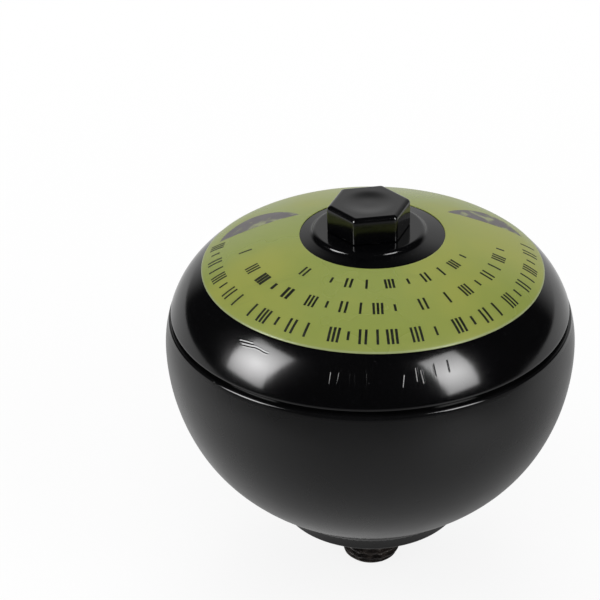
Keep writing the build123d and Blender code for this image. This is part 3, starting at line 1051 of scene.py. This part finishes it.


# Diaphragm's cup: the bowl's outline moved inwards for its two faces, with a square bead at the rim.
def buildDiaphragmCup():
    shape, (side, lower, base) = diaphragmShape, bowlArcs
    inset = vessel["wall"] + shape["gap"]
    thick = inset + shape["wall"]
    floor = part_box("diaphragm")[0].z / metresPerMillimetre
    floorTop, inner = floor + shape["wall"], shape["hubReach"] + shape["hubGap"]
    beadLow = vessel["equatorHeight"] - shape["beadDrop"]
    beadHigh, beadIn, beadOut = beadLow + shape["beadHeight"], shape["beadInner"], shape["beadOuter"]
    lowBreak, highBreak = shape["beadBreaks"]
    profile = np.concatenate([
        [(inner, floorTop), (inner, floor)],
        partRun(base, angleAtHeight(base, floor, inset), base["first"], 5, inset),
        partRun(lower, lower["last"], lower["first"], 12, inset)[1:],
        partRun(side, side["last"], angleAtHeight(side, beadLow, inset), 12, inset)[1:],
        [(beadOut - lowBreak, beadLow), (beadOut, beadLow + lowBreak)],
        [(beadOut, beadHigh - highBreak), (beadOut - highBreak, beadHigh)],
        [(beadIn + highBreak, beadHigh), (beadIn, beadHigh - highBreak)],
        partRun(side, angleAtHeight(side, beadLow, thick), side["last"], 12, thick),
        partRun(lower, lower["first"], lower["last"], 12, thick)[1:],
        partRun(base, base["first"], angleAtHeight(base, floorTop, thick), 5, thick)[1:],
    ])
    piece = turnedPiece("diaphragmCup", profile, shape["azimuthStep"], diaphragmRubber)
    settle(piece, "root", "diaphragm_rubber", "diaphragm")
    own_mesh(piece)


buildGasShell()
buildFluidShell()
buildPortFitting()
buildChargeScrew()
buildLabel()
buildSeal("chargeSeal", "charge_seal", 6.05, 0.92)    # inner radius and cord radius
buildSeal("portSeal", "port_seal", 5.85, 1.2)
buildDiaphragmHub()
buildDiaphragmCup()
for nodeName in ("clamp_ring", "closing_button"):
    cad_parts[nodeName].data.materials.clear()
    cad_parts[nodeName].data.materials.append(plainSteel)


# Places, sizes and distances of the studio are in metres.
studio = {
    "floorSize": 4.0,
    "floorGap": 0.0002,
    "floorColour": (0.86, 0.86, 0.86),
    "floorRoughness": 0.9,
    "floorShares": (0.86, 1.0),    # how much of the floor is plain white to the camera, near the part and far
    "floorFades": (0.12, 0.4),     # and between which distances that changes; the rest takes the shadow
    "floorTones": (0.21, 0.68),    # what gloss sees of the floor in front and behind
    "floorReach": (-0.18, 0.06),   # and between which Y that changes
    # and patches where it sees more or less of it: middle, reach and change of tone
    "floorPatches": (((-0.16, -0.085), 0.13, 0.2), ((0.09, 0.02), 0.12, -0.26),
                     ((0.106, -0.113), 0.085, 0.4), ((0.19, -0.204), 0.13, 0.6)),
    "wallTone": 0.61,              # what gloss sees of the wall behind
    "wallLean": 0.1,               # how much more of the wall stands on the +X side
    "wallReach": (0.6, 0.88),      # how far towards +Y a direction points where the wall begins and is full
    "wallTop": (0.5, 0.78),        # and how far up, where the wall begins to fade and where it is gone
    "darkTone": 0.015,             # what gloss sees everywhere else
    "ambient": 0.55,               # what everything that isn't gloss takes from the world
}

# Softboxes: power lights the surfaces; shine is what gloss mirrors, from a lamp of its own, and spread, in
# degrees, lets that fade from the box's middle.
softboxes = (
    {"name": "leftBox", "azimuth": -70.5, "height": 27.0, "distance": 0.9, "size": (0.4, 0.64),
     "power": 1.9, "shine": 1.3, "spread": 58.0},
    {"name": "rightBox", "azimuth": 50.0, "height": 30.5, "distance": 0.9, "size": (0.3, 0.66),
     "power": 1.9, "shine": 1.05, "spread": 66.0},
    {"name": "frontBox", "azimuth": 0.0, "height": 55.0, "distance": 1.1, "size": (0.6, 0.6), "power": 2.4},
    {"name": "backBox", "azimuth": 180.0, "height": 55.0, "distance": 1.1, "size": (0.6, 0.6), "power": 4.0},
)
shineStep = 0.03    # how much nearer the lamp for gloss stands: two lamps in one plane hide each other

photoView = {
    "elevation": 29.78,
    "distance": 0.47,          # from the seam's middle
    "focalPixels": 1997.0,
    "middlePixel": (369.35, 307.25),
    "roll": 0.4,
    "imageSize": 600.0,
    "clip": (0.01, 20.0),
}

seamMiddle = np.array([0.0, 0.0, vessel["seamHeight"] * metresPerMillimetre])


# Whether a ray comes from gloss, and whether it comes from the camera, also through something clear.
def rayKinds(tree):
    ray = addNode(tree, "LightPath").outputs
    return ray["Is Glossy Ray"], mathNode(tree, "MAXIMUM", ray["Is Camera Ray"], ray["Is Transmission Ray"])


# Floor: a plain sheet under the stud's end. The camera sees part of it as plain white and part of it lit, for
# the shadow; gloss sees a tone that rises towards the back, with soft round patches added to it.
def buildFloor():
    half, level = studio["floorSize"] / 2, cadBox[0].z - studio["floorGap"]
    corners = np.array([(x * half, y * half, level) for x, y in ((-1, -1), (1, -1), (1, 1), (-1, 1))])
    material, tree, shader, place = newMaterial("paleFloor")
    setInputs(tree, shader, {"Base Color": (*studio["floorColour"], 1.0), "Specular IOR Level": 0.0,
                             "Roughness": studio["floorRoughness"]})
    glossy, direct = rayKinds(tree)
    seen = mathNode(tree, "MAXIMUM", direct, glossy)
    whole = rangeNode(tree, vectorLength(tree, place), studio["floorFades"], studio["floorShares"])
    depth = addNode(tree, "SeparateXYZ", {"Vector": place}).outputs["Y"]
    tone = rangeNode(tree, depth, studio["floorReach"], studio["floorTones"])
    for middle, far, change in studio["floorPatches"]:
        off = addNode(tree, "VectorMath", {0: place, 1: (*middle, cadBox[0].z)}, operation="DISTANCE")
        patch = rangeNode(tree, off.outputs["Value"], (0.0, far), (change, 0.0))
        tone = mathNode(tree, "ADD", tone, patch)
    white = addNode(tree, "Emission", {"Strength": mathNode(tree, "MAXIMUM", direct, tone)})
    mix = addNode(tree, "MixShader", {0: mathNode(tree, "MULTIPLY", seen, whole), 1: shader.outputs["BSDF"],
                                      2: white.outputs["Emission"]})
    setInputs(tree, tree.nodes["Material Output"], {"Surface": mix.outputs["Shader"]})
    makePiece("paleFloor", corners / metresPerMillimetre, [(0, 1, 2, 3)], [material])


# World: white to the camera; to gloss a pale wall behind, more of it on the +X side, that fades to dark
# beside and above; to everything else one even tone.
def buildWorld():
    world = bpy.data.worlds.new("studioWorld")
    bpy.context.scene.world = world
    world.use_nodes = True
    tree = world.node_tree
    direction = addNode(tree, "TexCoord").outputs["Generated"]
    way = addNode(tree, "SeparateXYZ", {"Vector": direction}).outputs
    toward = mathNode(tree, "MULTIPLY_ADD", way["X"], studio["wallLean"], way["Y"])
    behind = rangeNode(tree, toward, studio["wallReach"], (0.0, studio["wallTone"]))
    low = rangeNode(tree, way["Z"], studio["wallTop"], (1.0, 0.0))
    wall = mathNode(tree, "MULTIPLY_ADD", behind, low, studio["darkTone"])
    glossy, direct = rayKinds(tree)
    change = mathNode(tree, "SUBTRACT", wall, studio["ambient"])
    tone = mathNode(tree, "MULTIPLY_ADD", glossy, change, studio["ambient"])
    setInputs(tree, tree.nodes["Background"], {"Color": (1.0, 1.0, 1.0, 1.0),
                                               "Strength": mathNode(tree, "MAXIMUM", tone, direct)})


# Places an object by its own axes and its middle, and puts it into the scene.
def placeObject(name, data, axes, middle):
    placed = bpy.data.objects.new(name, data)
    pose = np.eye(4)
    pose[:3, :3], pose[:3, 3] = np.transpose(axes), middle
    placed.matrix_world = Matrix(pose.tolist())
    bpy.context.scene.collection.objects.link(placed)
    return placed


# Lamp of a softbox: an area lamp on a sphere round the vessel, turned to face it, for gloss or for the rest.
def buildLamp(box, name, power, forGloss):
    data = bpy.data.lights.new(name, "AREA")
    data.shape = "RECTANGLE"
    data.size, data.size_y = box["size"]
    data.energy = power
    data.spread = math.radians(box["spread"] if forGloss else 180.0)
    up = math.radians(box["height"])
    away = ringPoints(math.cos(up), box["azimuth"], math.sin(up))
    aside = ringPoints(1.0, box["azimuth"] + 90.0, 0.0)
    distance = box["distance"] - shineStep * forGloss
    lamp = placeObject(name, data, (aside, np.cross(away, aside), away), seamMiddle + distance * away)
    lamp.visible_glossy, lamp.visible_diffuse = forGloss, not forGloss


# Camera: it looks along the line to the seam's middle, rolled a little, then turned by the small angle
# that carries the picture's centre line to the pixel where that middle is seen.
def buildCamera():
    view = photoView
    up, roll = math.radians(view["elevation"]), math.radians(view["roll"])
    away = np.array([0.0, -math.cos(up), math.sin(up)])
    right = np.array([1.0, 0.0, 0.0])
    down = np.cross(-away, right)
    across = math.cos(roll) * right + math.sin(roll) * down
    along = math.cos(roll) * down - math.sin(roll) * right
    offset = (np.array(view["middlePixel"]) - view["imageSize"] / 2) / view["focalPixels"]
    turn = Vector((0.0, 0.0, 1.0)).rotation_difference(Vector((*offset, 1.0)))
    axes = np.array(turn.to_matrix()) @ np.stack([across, along, -away])
    data = bpy.data.cameras.new("photoCamera")
    data.lens = view["focalPixels"] / view["imageSize"] * data.sensor_width
    data.clip_start, data.clip_end = view["clip"]
    axes[1:] *= -1.0    # a camera's own axes point right, up and back
    camera = placeObject("photoCamera", data, axes, seamMiddle + view["distance"] * away)
    bpy.context.scene.camera = camera


buildFloor()
buildWorld()
for softbox in softboxes:
    buildLamp(softbox, softbox["name"], softbox["power"], False)
    if "shine" in softbox:
        buildLamp(softbox, softbox["name"] + "Shine", softbox["shine"], True)
buildCamera()
bpy.context.scene.view_settings.view_transform = "Standard"
print("studio ready")
